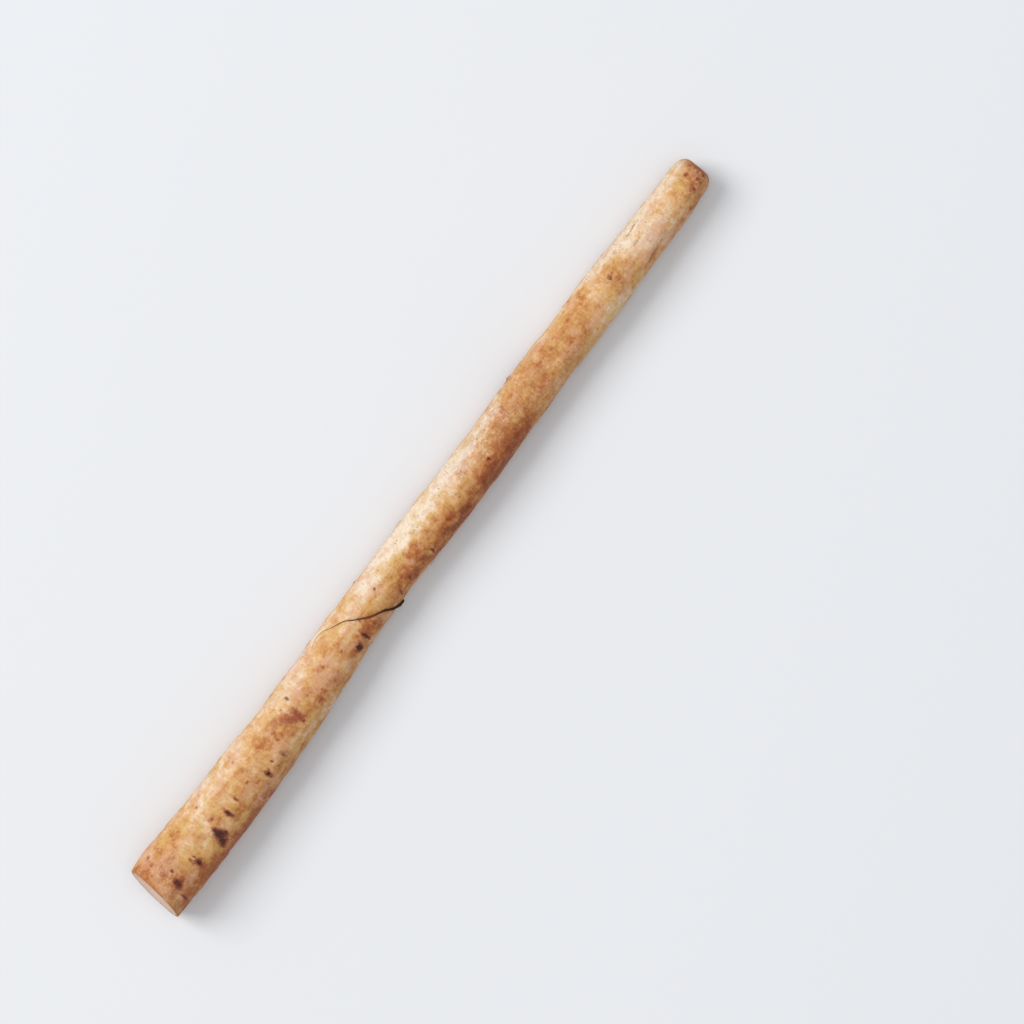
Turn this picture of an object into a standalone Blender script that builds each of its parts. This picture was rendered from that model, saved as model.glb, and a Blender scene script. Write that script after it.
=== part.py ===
"""A length of burdock root, washed, cut at both ends and lying on a surface.

The root lies along X, with its thick crown end at -X and its thin end at +X.
Units are metres, +Z up. The origin is the middle of the underside of its bounding box.
"""

import math
import random

import bmesh
import bpy
import numpy as np
from mathutils import Matrix, Vector, noise

MM = 0.001

# Driving dimensions, in millimetres
LENGTH = 400.0
# Distance from the crown cut, radius, sideways shift of the middle line, height of the underside
STATIONS = np.array(
    (
        (0, 14.2, 0.3, 1.5),
        (9, 14.5, 0.4, 0.9),
        (21, 14.25, 0.15, 0.3),
        (36, 14.15, -0.45, -0.35),
        (60, 13.5, -0.9, -0.6),
        (91, 12.75, -1.1, -0.25),
        (120, 12.05, -0.2, 0.5),
        (148, 11.0, 0.95, 0.9),
        (170, 10.75, 1.1, 1.0),
        (212, 11.1, 0.5, 0.6),
        (239, 11.1, 0.05, 0.3),
        (265, 11.1, 0.65, 0.0),
        (300, 10.9, 0.5, -0.35),
        (338, 10.95, 0.1, -0.2),
        (371, 10.25, -0.1, 0.5),
        (390, 9.6, -0.2, 1.1),
        (400, 8.95, -0.1, 1.5),
    )
)
OVAL = 0.025  # share by which a section is taller or wider than round

# The two cuts: how far each leans along X from one side of the root to the other
CROWN_LEAN_SIDE = 3.6
CROWN_LEAN_UP = 5.5
TIP_LEAN_SIDE = 0.8
TIP_LEAN_UP = -0.6
LEAN_FADE = 30.0
CROWN_RIM = 0.7  # radius of the edge at the crown cut
TIP_RIM = 5.5  # the thin end's edge is worn round

# Lumps in the surface: wavelength along the root, lobes round it, height
LUMPS = ((46.0, 0.9, 0.8), (17.0, 1.5, 0.5), (7.5, 2.3, 0.24))

# Creases that run part of the way round the root
CREASES = 64
CREASE_SEED = 11
CREASE_DEPTH = (0.25, 0.65)
CREASE_WIDTH = 1.7
CREASE_SPAN = (0.5, 1.3)  # half of its span round the root, in radians

# Scars of lateral roots on the side that shows: distance along, angle round from +Y in degrees,
# half-length along, half-length round, height of the raised rim
SCARS = (
    (10.5, 110, 1.9, 2.4, 0.35),
    (22.5, 113, 1.6, 3.7, 0.5),
    (38.5, 118, 2.9, 4.8, 0.65),
    (48.3, 107, 1.4, 2.7, 0.45),
    (72.8, 119, 1.4, 3.0, 0.5),
    (83.4, 120, 1.2, 2.8, 0.45),
    (103.0, 61, 1.0, 1.3, 0.3),
    (141.0, 133, 1.4, 2.0, 0.4),
    (146.5, 130, 1.2, 2.5, 0.4),
    (241.0, 109, 1.2, 1.5, 0.35),
    (337.0, 82, 1.2, 1.5, 0.35),
    (393.0, 77, 1.1, 1.3, 0.3),
)
# Scars on the sides that don't show stand in rows, as lateral roots do
HIDDEN_ROWS = (205, 296, 338)
HIDDEN_GAP = (19.0, 50.0)
HIDDEN_SEED = 5
SCAR_SIDES = 8
SCAR_RIM = 0.72  # the rim and the sunken middle, as shares of a scar's half-lengths
SCAR_MIDDLE = 0.32
SCAR_DIP = 0.3  # height of the middle, as a share of the rim's
SCAR_POINTED = 0.28  # share by which a scar narrows towards its two ends
SCAR_SUNK = 0.9  # its foot is this deep in the root
SCAR_FLOOR = 1.6  # scars nearer than this to the surface below are left out

# The knob in the bruised patch: distance along, angle, radius, height
KNOB = (100.5, 80, 4.6, 0.8)

# Stubs of lateral roots: they stand on these scars, counted in the order they are made
STUB_EVERY = 3
STUB_RADIUS = 0.75
STUB_TIP_RADIUS = 0.45
STUB_SUNK = 1.6
STUB_HEIGHT = (0.8, 2.2)
STUB_FLOOR = 3.5  # stubs nearer than this to the surface below are left out

# The rootlet that clings to the root: distance along and angle round, from its base to its tip
ROOTLET = (
    (168.0, 176),
    (164.0, 157),
    (161.5, 138),
    (158.5, 120),
    (155.5, 108),
    (153.0, 98),
    (150.5, 85),
    (147.0, 72),
    (144.5, 58),
    (140.0, 45),
    (135.5, 30),
)
ROOTLET_RADIUS = (0.62, 0.34)
ROOTLET_LIFT = 0.12  # its middle line stands this far over the skin
ROOTLET_STEPS = 3  # points between two rows of the route

# Mesh
SIDES = 28
RING_GAP = 3.2
NEAREST_RINGS = 0.9
CAP_RINGS = (0.86, 0.55, 0.25)
CUT_RELIEF = 0.25  # the middle of a cut face stands this far behind its rim

SKIN_COLOUR = (0.62, 0.36, 0.17, 1.0)
SKIN_ROUGHNESS = 0.55


def smooth(column, distance):
    """A column of STATIONS at these distances, on a smooth curve through its rows."""
    x, y = STATIONS[:, 0], STATIONS[:, column]
    slope = np.gradient(y, x)
    row = np.clip(np.searchsorted(x, distance) - 1, 0, len(x) - 2)
    gap = x[row + 1] - x[row]
    t = np.clip((distance - x[row]) / gap, 0.0, 1.0)
    return (
        y[row] * (1 + 2 * t) * (1 - t) ** 2
        + slope[row] * gap * t * (1 - t) ** 2
        + y[row + 1] * t**2 * (3 - 2 * t)
        + slope[row + 1] * gap * t**2 * (t - 1)
    )


def turn_between(angle, other):
    """The angle from other to angle, between -pi and pi."""
    return (angle - other + np.pi) % (2 * np.pi) - np.pi


def lumps(distance, angle):
    """Slow swellings all over the root."""
    height = np.zeros(len(distance))
    for wave, lobes, size in LUMPS:
        for i, (d, a) in enumerate(zip(distance, angle)):
            point = Vector((d / wave, lobes * math.cos(a), lobes * math.sin(a)))
            height[i] += size * noise.noise(point + Vector((wave, wave, 0)))
    return height


def creases(distance, angle):
    """Shallow grooves across the root, each with a low lip on both sides."""
    draw = random.Random(CREASE_SEED)
    height = np.zeros(len(distance))
    for _ in range(CREASES):
        at = draw.randint(2, int(LENGTH / RING_GAP) - 3) * RING_GAP
        middle = draw.uniform(-np.pi, np.pi)
        depth = draw.uniform(*CREASE_DEPTH)
        span = draw.uniform(*CREASE_SPAN)
        off = (distance - at) / CREASE_WIDTH
        window = np.clip(1 - (turn_between(angle, middle) / span) ** 2, 0, 1)
        height += depth * window * (0.9 * off**2 - 1) * np.exp(-(off**2))
    return height


def all_scars():
    """Every scar: those that show and, in rows on the hidden sides, those drawn by the seed."""
    draw = random.Random(HIDDEN_SEED)
    scars = list(SCARS)
    for row in HIDDEN_ROWS:
        at = draw.uniform(8, HIDDEN_GAP[0])
        while at < LENGTH - 6:
            along = draw.uniform(1.1, 1.7)
            turn = row + draw.uniform(-9, 9)
            scars.append((at, turn, along, along * draw.uniform(1.5, 2.2), draw.uniform(0.3, 0.5)))
            at += draw.uniform(*HIDDEN_GAP)
    return scars


def knob(distance, angle, radius):
    """The swelling in the bruised patch."""
    at, turn, size, rise = KNOB
    far = np.hypot(distance - at, turn_between(angle, math.radians(turn)) * radius) / size
    return rise * np.exp(-(far**2))


def skin(distance, angle, share=None):
    """Points of the root, in millimetres before it is centred.

    share is 1 on the skin and runs to 0 at the middle of a cut face."""
    share = np.ones(len(distance)) if share is None else share
    radius = smooth(1, distance)
    oval = 1 + OVAL * np.cos(2 * angle - 0.8 + distance / 90)
    relief = lumps(distance, angle) + creases(distance, angle)
    relief += knob(distance, angle, radius)
    near_crown = np.clip(1 - distance / CROWN_RIM, 0, 1)
    near_tip = np.clip(1 - (LENGTH - distance) / TIP_RIM, 0, 1)
    rim = CROWN_RIM * (1 - np.sqrt(1 - near_crown**2)) + TIP_RIM * (1 - np.sqrt(1 - near_tip**2))
    reach = (radius * oval + relief - rim * 0.8) * share
    side, up = reach * np.cos(angle), reach * np.sin(angle)
    crown_fade = np.clip(1 - distance / LEAN_FADE, 0, 1) ** 2
    tip_fade = np.clip(1 - (LENGTH - distance) / LEAN_FADE, 0, 1) ** 2
    lean = crown_fade * (side * CROWN_LEAN_SIDE + up * CROWN_LEAN_UP) / (2 * radius)
    lean += tip_fade * (side * TIP_LEAN_SIDE + up * TIP_LEAN_UP) / (2 * radius)
    hollow = CUT_RELIEF * (1 - share**2) * np.where(distance < LENGTH / 2, 1, -1)
    middle_height = smooth(3, distance) + radius
    return np.stack(
        (distance + lean + hollow, smooth(2, distance) + side, middle_height + up), axis=1
    )


def ring_distances():
    """Where the rings of vertices stand: evenly spaced, with more at the rims of the two cuts."""
    wanted = [0.0, CROWN_RIM * 0.4, CROWN_RIM, LENGTH]
    wanted += [LENGTH - TIP_RIM * share for share in (1.0, 0.55, 0.25, 0.07)]
    for at in np.arange(RING_GAP, LENGTH, RING_GAP):
        if min(abs(at - other) for other in wanted) > NEAREST_RINGS:
            wanted.append(float(at))
    return np.array(sorted(wanted))


def material():
    finish = bpy.data.materials.new("burdock_skin")
    finish.use_nodes = True
    shader = finish.node_tree.nodes["Principled BSDF"]
    shader.inputs["Base Color"].default_value = SKIN_COLOUR
    shader.inputs["Roughness"].default_value = SKIN_ROUGHNESS
    shader.inputs["Metallic"].default_value = 0.0
    return finish


def cylinder(rings):
    """A cylinder of unit radius from x = 0 to 1, with this many rings and rings on its caps."""
    bm = bmesh.new()
    bmesh.ops.create_cone(
        bm,
        cap_ends=True,
        segments=SIDES,
        radius1=1.0,
        radius2=1.0,
        depth=1.0,
        matrix=Matrix.Translation((0.5, 0, 0)) @ Matrix.Rotation(math.pi / 2, 4, "Y"),
    )
    caps = [face for face in bm.faces if len(face.verts) > 4]
    lengthwise = [
        edge for edge in bm.edges if abs(edge.verts[0].co.x - edge.verts[1].co.x) > 0.5
    ]
    bmesh.ops.subdivide_edges(bm, edges=lengthwise, cuts=rings - 2)
    for cap in caps:
        inner = 1.0
        for share in CAP_RINGS:
            bmesh.ops.inset_individual(bm, faces=[cap], thickness=(inner - share))
            inner = share
    bmesh.ops.poke(bm, faces=caps)
    return bm


def root_mesh():
    """The root's body, shaped from a cylinder, with a flat underside where it touches."""
    distances = ring_distances()
    bm = cylinder(len(distances))
    plain = np.array([vert.co for vert in bm.verts])
    ring = np.clip(np.round(plain[:, 0] * (len(distances) - 1)), 0, len(distances) - 1)
    share = np.clip(np.hypot(plain[:, 1], plain[:, 2]), 0.0, 1.0)
    angle = np.arctan2(plain[:, 2], plain[:, 1])
    points = skin(distances[ring.astype(int)], angle, share)
    points[:, 2] = np.maximum(points[:, 2], 0.0)
    for vert, point in zip(bm.verts, points):
        vert.co = Vector(point * MM)
    mesh = bpy.data.meshes.new("burdock_root")
    bm.to_mesh(mesh)
    bm.free()
    return mesh


def outward(angle):
    """Unit vectors straight out from the root's middle line at these angles."""
    return np.stack((np.zeros(len(angle)), np.cos(angle), np.sin(angle)), axis=1)


def scar_mesh(at, turn, along, across, rim):
    """A scar that follows the skin: a low lens-shaped rim round a sunken middle.

    It is a short cone with a smaller ring inset in its top, laid on the skin by formula."""
    bm = bmesh.new()
    bmesh.ops.create_cone(
        bm,
        cap_ends=True,
        segments=SCAR_SIDES,
        radius1=1.0,
        radius2=SCAR_RIM,
        depth=2.0,
    )
    top = [face for face in bm.faces if face.calc_center_median().z > 0.9]
    bmesh.ops.inset_individual(bm, faces=top, thickness=SCAR_RIM - SCAR_MIDDLE)
    plain = np.array([vert.co for vert in bm.verts])
    share = np.hypot(plain[:, 0], plain[:, 1])
    lens = 1 - SCAR_POINTED * (plain[:, 1] / share) ** 2
    radius = smooth(1, np.array([at]))
    distance = at - along * plain[:, 0] * lens  # turned so that its outside stays outside
    angle = math.radians(turn) + across * plain[:, 1] / radius
    rise = np.where(share > SCAR_RIM - 0.01, rim, rim * SCAR_DIP)
    rise = np.where(plain[:, 2] < 0, -SCAR_SUNK, rise)
    points = skin(distance, angle) + outward(angle) * rise[:, None]
    for vert, point in zip(bm.verts, points):
        vert.co = Vector(point * MM)
    mesh = bpy.data.meshes.new("scar")
    bm.to_mesh(mesh)
    bm.free()
    return mesh


def add_scars(collection):
    """The scars of lateral roots, clear of the surface that the root lies on."""
    for scar in all_scars():
        foot = skin(np.array([scar[0]]), np.array([math.radians(scar[1])]))[0]
        if foot[2] > SCAR_FLOOR:
            collection.objects.link(bpy.data.objects.new("scar", scar_mesh(*scar)))


def stub_mesh():
    """A short stub of a lateral root along +Z, a six-sided cone of unit length."""
    bm = bmesh.new()
    bmesh.ops.create_cone(
        bm,
        cap_ends=True,
        segments=6,
        radius1=STUB_RADIUS * MM,
        radius2=STUB_TIP_RADIUS * MM,
        depth=1.0,
        matrix=Matrix.Translation((0, 0, 0.5)),
    )
    mesh = bpy.data.meshes.new("stub")
    bm.to_mesh(mesh)
    bm.free()
    return mesh


def add_stubs(collection):
    """Stubs stand on every few scars, clear of the surface that the root lies on."""
    draw = random.Random(HIDDEN_SEED)
    shape = stub_mesh()
    for at, turn, _, _, _ in all_scars()[1::STUB_EVERY]:
        angle = math.radians(turn)
        foot = skin(np.array([at]), np.array([angle]))[0]
        lean = Vector((draw.uniform(-0.5, 0.3), math.cos(angle), math.sin(angle))).normalized()
        height = draw.uniform(*STUB_HEIGHT)
        if foot[2] < STUB_FLOOR:
            continue
        stub = bpy.data.objects.new("stub", shape)
        stub.location = (Vector(foot) - lean * STUB_SUNK) * MM
        stub.rotation_euler = lean.to_track_quat("Z", "Y").to_euler()
        stub.scale = (1, 1, (height + STUB_SUNK) * MM)
        collection.objects.link(stub)


def add_rootlet(collection):
    """A thin rootlet that clings to the skin: a tube along its route that tapers to its tip."""
    rows = np.array(ROOTLET, float)
    steps = np.linspace(0, len(rows) - 1, (len(rows) - 1) * ROOTLET_STEPS + 1)
    distance = np.interp(steps, range(len(rows)), rows[:, 0])
    angle = np.radians(np.interp(steps, range(len(rows)), rows[:, 1]))
    points = skin(distance, angle) + outward(angle) * ROOTLET_LIFT
    points[0] -= outward(angle[:1])[0] * ROOTLET_RADIUS[0] * 2
    line = bpy.data.curves.new("rootlet", "CURVE")
    line.dimensions = "3D"
    line.bevel_depth = MM
    line.bevel_resolution = 1
    line.use_fill_caps = True
    spline = line.splines.new("POLY")
    spline.points.add(len(points) - 1)
    for place, point, share in zip(spline.points, points, np.linspace(0, 1, len(points))):
        place.co = (*(point * MM), 1)
        place.radius = ROOTLET_RADIUS[0] + share * (ROOTLET_RADIUS[1] - ROOTLET_RADIUS[0])
    guide = bpy.data.objects.new("rootlet_line", line)
    collection.objects.link(guide)
    bpy.context.view_layer.update()
    evaluated = guide.evaluated_get(bpy.context.evaluated_depsgraph_get())
    mesh = bpy.data.meshes.new_from_object(evaluated)
    bm = bmesh.new()
    bm.from_mesh(mesh)
    bmesh.ops.remove_doubles(bm, verts=bm.verts, dist=0.00001)
    bm.to_mesh(mesh)
    bm.free()
    rootlet = bpy.data.objects.new("rootlet", mesh)
    rootlet.matrix_world = guide.matrix_world.copy()
    bpy.data.objects.remove(guide)
    collection.objects.link(rootlet)


def join(body, collection):
    """The body with everything in the collection fused into it by one Boolean union."""
    union = body.modifiers.new("union", "BOOLEAN")
    union.operation = "UNION"
    union.operand_type = "COLLECTION"
    union.collection = collection
    union.solver = "EXACT"
    bpy.context.view_layer.update()
    evaluated = body.evaluated_get(bpy.context.evaluated_depsgraph_get())
    joined = bpy.data.meshes.new_from_object(evaluated)
    body.modifiers.clear()
    body.data = joined
    for piece in list(collection.objects):
        bpy.data.objects.remove(piece)
    bpy.data.collections.remove(collection)


def centre(mesh):
    """Moves the mesh so that the origin is the middle of the underside of its box."""
    points = np.array([vert.co for vert in mesh.vertices])
    low, high = points.min(axis=0), points.max(axis=0)
    mesh.transform(Matrix.Translation((-(low[0] + high[0]) / 2, -(low[1] + high[1]) / 2, -low[2])))


def main():
    for old in list(bpy.data.objects):
        bpy.data.objects.remove(old)
    part = bpy.data.collections.new("burdock_root")
    repeats = bpy.data.collections.new("repeats")
    bpy.context.scene.collection.children.link(part)
    bpy.context.scene.collection.children.link(repeats)

    body = bpy.data.objects.new("burdock_root", root_mesh())
    part.objects.link(body)
    add_scars(repeats)
    add_stubs(repeats)
    add_rootlet(repeats)
    join(body, repeats)
    centre(body.data)
    body.data.materials.clear()
    body.data.materials.append(material())
    body.data.shade_smooth()
    body.data.set_sharp_from_angle(angle=math.radians(45))


main()
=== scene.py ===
"""The looks of a washed, cut burdock root that lies on a pale table, seen from above.

The root's shape follows the same formulas as its solid, on a finer mesh, with its scars, wrinkles,
rootlet and cut faces worked out. A place on it is given by its distance from the crown cut and its
angle round from +Y. Lengths are in millimetres, but for the floor's and the lights', in metres.
"""

import math
import random

import bpy
import numpy as np
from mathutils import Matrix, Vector, noise


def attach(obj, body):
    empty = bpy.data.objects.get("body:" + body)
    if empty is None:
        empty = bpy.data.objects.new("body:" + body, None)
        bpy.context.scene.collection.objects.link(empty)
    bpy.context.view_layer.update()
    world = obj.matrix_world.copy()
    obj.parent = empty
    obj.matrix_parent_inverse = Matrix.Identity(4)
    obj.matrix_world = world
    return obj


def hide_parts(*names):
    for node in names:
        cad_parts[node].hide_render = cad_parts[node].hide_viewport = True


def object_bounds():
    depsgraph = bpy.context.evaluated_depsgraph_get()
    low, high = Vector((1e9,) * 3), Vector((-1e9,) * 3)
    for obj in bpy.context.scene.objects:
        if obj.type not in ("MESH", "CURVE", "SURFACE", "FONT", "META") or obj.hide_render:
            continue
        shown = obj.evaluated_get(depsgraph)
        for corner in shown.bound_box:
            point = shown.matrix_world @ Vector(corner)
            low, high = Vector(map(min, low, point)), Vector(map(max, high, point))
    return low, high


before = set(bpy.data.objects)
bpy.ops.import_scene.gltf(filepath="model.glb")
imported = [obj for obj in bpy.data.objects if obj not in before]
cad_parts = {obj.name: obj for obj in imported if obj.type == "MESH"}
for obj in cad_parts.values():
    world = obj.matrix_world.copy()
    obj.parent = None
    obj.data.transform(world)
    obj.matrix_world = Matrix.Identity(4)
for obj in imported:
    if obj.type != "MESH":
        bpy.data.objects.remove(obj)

MM = 0.001
NODE = "burdock_root"
BODY = "root"
CAD_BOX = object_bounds()

# Driving dimensions of the root, as in its solid
LENGTH = 400.0
# Distance from the crown cut, radius, sideways shift of the middle line, height of the underside
STATIONS = np.array([
    (0, 14.2, 0.3, 1.5),
    (9, 14.5, 0.4, 0.9),
    (21, 14.25, 0.15, 0.3),
    (36, 14.15, -0.45, -0.35),
    (60, 13.5, -0.9, -0.6),
    (91, 12.75, -1.1, -0.25),
    (120, 12.05, -0.2, 0.5),
    (148, 11.0, 0.95, 0.9),
    (170, 10.75, 1.1, 1.0),
    (212, 11.1, 0.5, 0.6),
    (239, 11.1, 0.05, 0.3),
    (265, 11.1, 0.65, 0.0),
    (300, 10.9, 0.5, -0.35),
    (338, 10.95, 0.1, -0.2),
    (371, 10.25, -0.1, 0.5),
    (390, 9.6, -0.2, 1.1),
    (400, 8.95, -0.1, 1.5),
])
OVAL = 0.025  # share by which a section is taller or wider than round
OVAL_PHASE = 0.8  # twice the angle of its wide axis at the crown cut, in radians
OVAL_TWIST = 90.0  # distance in which that turns back by a radian
# The two cuts: how far each leans along X from one side of the root to the other
CROWN_LEAN_SIDE = 3.6
CROWN_LEAN_UP = 5.5
TIP_LEAN_SIDE = 0.8
TIP_LEAN_UP = -0.6
LEAN_FADE = 30.0  # how far from a cut its lean reaches
CROWN_RIM = 0.7  # radius of the edge at the crown cut
TIP_RIM = 5.5  # the thin end's edge is worn round
RIM_SHARE = 0.8  # share of an edge's rounding by which the section narrows
CUT_RELIEF = 0.25  # the middle of a cut face stands this far behind its rim
# Lumps in the surface: wavelength along the root, lobes round it, height
LUMPS = ((46.0, 0.9, 0.8), (17.0, 1.5, 0.5), (7.5, 2.3, 0.24))
# Creases that run part of the way round the root
CREASES = 64
CREASE_SEED = 11
CREASE_GAP = 3.2
CREASE_DEPTH = (0.25, 0.65)
CREASE_WIDTH = 1.7
CREASE_SPAN = (0.5, 1.3)  # half of its span round the root, in radians
# The knob in the bruised patch: distance along, angle, radius, height
KNOB = (100.5, 80, 4.6, 0.8)

# Scars of lateral roots on the side that shows: distance along, angle, half-length along,
# half-length round, height of the raised rim
SCARS = (
    (10.5, 110, 1.9, 2.4, 0.35),
    (22.5, 113, 1.6, 3.7, 0.5),
    (38.5, 118, 2.9, 4.8, 0.65),
    (48.3, 107, 1.4, 2.7, 0.45),
    (72.8, 119, 1.4, 3.0, 0.5),
    (83.4, 120, 1.2, 2.8, 0.45),
    (103, 61, 1.0, 1.3, 0.3),
    (141, 133, 1.4, 2.0, 0.4),
    (146.5, 130, 1.2, 2.5, 0.4),
    (241, 109, 1.2, 1.5, 0.35),
    (337, 82, 1.2, 1.5, 0.35),
    (393, 77, 1.1, 1.3, 0.3),
)
# Scars on the sides that don't show stand in rows, as lateral roots do
HIDDEN_ROWS = (205, 296, 338)
HIDDEN_GAP = (19.0, 50.0)
HIDDEN_SEED = 5
# A scar's lip and its sunken middle, as shares of its half-lengths and of the lip's height
LIP_PLACE = 0.95
LIP_WIDTH = 0.3
MIDDLE_REACH = 0.55
MIDDLE_DEPTH = 0.5

# Stubs of lateral roots: they stand on these scars, counted in the order they are made
STUB_EVERY = 3
STUB_RADIUS = 0.75
STUB_FLARE = (1.5, 1.15, 0.8)  # its radius below the skin, at it and at its end, as shares
STUB_TIP_RADIUS = 0.45
STUB_DOME = 0.12  # height of the dome on its broken end
STUB_DOME_SHARE = 0.55  # the dome's radius as a share of the tip's
STUB_BEND = 0.12  # how far it bends along the root at a millimetre out
STUB_SUNK = 1.6
STUB_HEIGHT = (0.8, 2.2)
STUB_FLOOR = 3.5  # stubs nearer than this to the surface below are left out
STUB_POINTS = 9
STUB_SIDES = 12

# The rootlet that clings to the root: distance along and angle, from its base to its tip
ROOTLET = (
    (169.5, 192),
    (168.0, 177),
    (165.2, 163),
    (162.4, 143),
    (161.2, 132),
    (158.6, 122),
    (154.8, 110),
    (151.8, 96),
    (149.0, 82),
    (146.5, 68),
    (143.8, 59),
    (140.2, 48),
    (137.0, 36),
)
# Past the solid's end it goes on as a hair
ROOTLET_TAIL = ((133.0, 31), (128.5, 38))
# Its radius at each row of its route and tail
ROOTLET_RADII = (
    0.85, 0.74, 0.66, 0.6, 0.58, 0.46, 0.46, 0.4,
    0.28, 0.24, 0.21, 0.18, 0.14, 0.11, 0.07,
)
ROOTLET_STEPS = 9  # points between two rows of its route
ROOTLET_SIDES = 10
ROOTLET_PRESSED = 0.35  # share of its radius that is pressed into the skin
ROOTLET_ROOTED = 1.3  # how deep its base is in the root
ROOTLET_UNEVEN = 0.2  # share by which its radius wavers
ROOTLET_SCAR = (169.6, 193, 1.6, 2.1, 0.4)  # the scar it grows from, as a row of SCARS

# Hairs, the last of the finest roots, on these of the hidden scars
HAIR_EVERY = 2
HAIR_SEED = 17
HAIR_LENGTH = (3.5, 11.0)
HAIR_RADIUS = 0.1
HAIR_TAPER = 0.45  # its radius at its tip as a share of the one at its base
HAIR_LIFT = (0.1, 0.9)  # how high its tip stands over the skin
HAIR_CURL = 0.16  # how far it turns in a millimetre, at most, in radians
HAIR_WAVER = 0.12  # and how far it strays at each of its points
HAIR_FLOOR = 1.0  # hairs that come nearer than this to the surface below are left out
HAIR_ENDS = 2.0  # or nearer than this to a cut
HAIR_POINTS = 16
HAIR_SIDES = 5

# Noises of the skin: wavelength along, lobes round it, where the noise starts
WRINKLES = (2.3, 2.2, 5.0)
WRINKLED = (40.0, 1.1, 21.0)  # where the wrinkles gather
PORES = (2.6, 4.6, 40.0)
STRIAE = (24.0, 7.5, 60.0)
LIP_BREAKS = (2.4, 4.5, 12.0)  # where a scar's lip is open or low
ROOTLET_KNOTS = (1.7, 9.0, 33.0)
CREASE_WAVERS = ((1.1, (30.0, 1.6, 3.0)), (0.35, (9.0, 4.0, 8.0)))  # size and noise
WRINKLE_HEIGHT = 0.075
PORE_HEIGHT = 0.06
STRIA_HEIGHT = 0.05
BROAD_SHARE = 0.32  # share of a crease's depth in its broad valley
BROAD_LIP = 0.9  # how strongly the skin rises beside it
GROOVE_SHARE = 0.16  # share of a crease's depth in its narrow groove
GROOVE_LIP = 0.7
GROOVE_WIDTH = 0.42  # the groove's width as a share of the crease's
PIT_DEPTH = 0.42  # how far a dark mark is sunk

# What makes the marks' outlines ragged: size, wavelength, lobes, and where its two noises start
WARPS = ((0.5, 3.0, 4.0, 71.0, 83.0), (0.28, 1.2, 9.0, 91.0, 97.0))

# Marks: distance along, angle, half-length along, half-length round, strength and, where they
# lean, their tilt in degrees
DARK = (
    (10.4, 114, 1.9, 2.6, 0.84, 10),
    (13.1, 91, 0.8, 0.75, 0.72),
    (7.6, 146, 0.6, 3.4, 0.66),
    (10.4, 38, 0.9, 0.6, 0.5, -30),
    (24.5, 109, 0.5, 1.7, 0.6, 12),
    (22.4, 107, 0.5, 1.4, 0.5, 12),
    (23.9, 122, 1.0, 2.2, 0.85, 5),
    (39.3, 109, 1.15, 2.3, 0.84, 10),
    (39.2, 121, 2.2, 2.9, 1.0, 12),
    (37.5, 132, 1.9, 2.3, 0.97),
    (41.2, 125, 1.1, 1.6, 0.84),
    (36.0, 139, 1.0, 1.5, 0.8),
    (48.9, 108, 0.85, 2.8, 0.86, -4),
    (48.2, 108, 0.8, 0.9, 0.8),
    (55.7, 103, 0.5, 1.6, 0.62),
    (72.9, 123, 0.8, 2.4, 0.66, -5),
    (74.1, 118, 0.7, 0.7, 0.4),
    (78.4, 112, 0.6, 0.6, 0.75),
    (83.9, 124, 0.6, 2.0, 0.45, 10),
    (100.7, 118, 0.6, 0.9, 0.62),
    (102.6, 94, 0.6, 2.4, 0.32, -8),
    (98.4, 104, 0.8, 1.6, 0.32, 20),
    (95.6, 84, 1.0, 0.7, 0.28),
    (103.9, 63, 0.7, 1.0, 0.52),
    (135.1, 101, 0.6, 0.6, 0.5),
    (141.1, 136, 1.5, 1.9, 0.88),
    (139.7, 132, 0.9, 0.8, 0.62),
    (142.6, 131, 0.6, 1.5, 0.6, 24),
    (140.0, 142, 1.2, 0.8, 0.66),
    (146.9, 131, 0.75, 3.1, 0.95),
    (150.2, 123, 0.5, 1.2, 0.4, -14),
    (165.7, 80, 0.6, 0.6, 0.6),
    (169.6, 193, 1.2, 1.6, 0.85),
    (171.6, 139, 0.45, 1.8, 0.72, 12),
    (179.2, 135, 0.45, 1.9, 0.72, 14),
    (194.6, 137, 0.45, 1.9, 0.8, 12),
    (241.4, 107, 0.65, 0.9, 0.85),
    (337.1, 80, 0.9, 0.9, 0.3),
    (339.0, 77, 0.6, 0.6, 0.42),
    (359.6, 48, 4.4, 0.28, 0.42, -4),
    (355.6, 134, 3.4, 0.5, 0.36, -3),
    (393.6, 76, 1.0, 0.75, 0.56, 25),
    (390.8, 114, 0.7, 0.7, 0.45),
    (395.2, 108, 0.7, 0.7, 0.5),
    (397.4, 96, 0.7, 0.8, 0.45),
    (398.1, 119, 0.7, 1.0, 0.55),
    (399.4, 104, 0.6, 4.0, 0.55),
)
COOL = (
    (39.2, 123, 0.9, 1.3, 0.55),
    (9.9, 113, 0.9, 1.2, 0.35),
    (83.8, 124, 0.5, 1.5, 0.3),
    (141.2, 138, 0.6, 0.8, 0.35),
    (103.9, 63, 0.5, 0.7, 0.4),
    (356.4, 80, 1.2, 0.6, 0.25),
)
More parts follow.
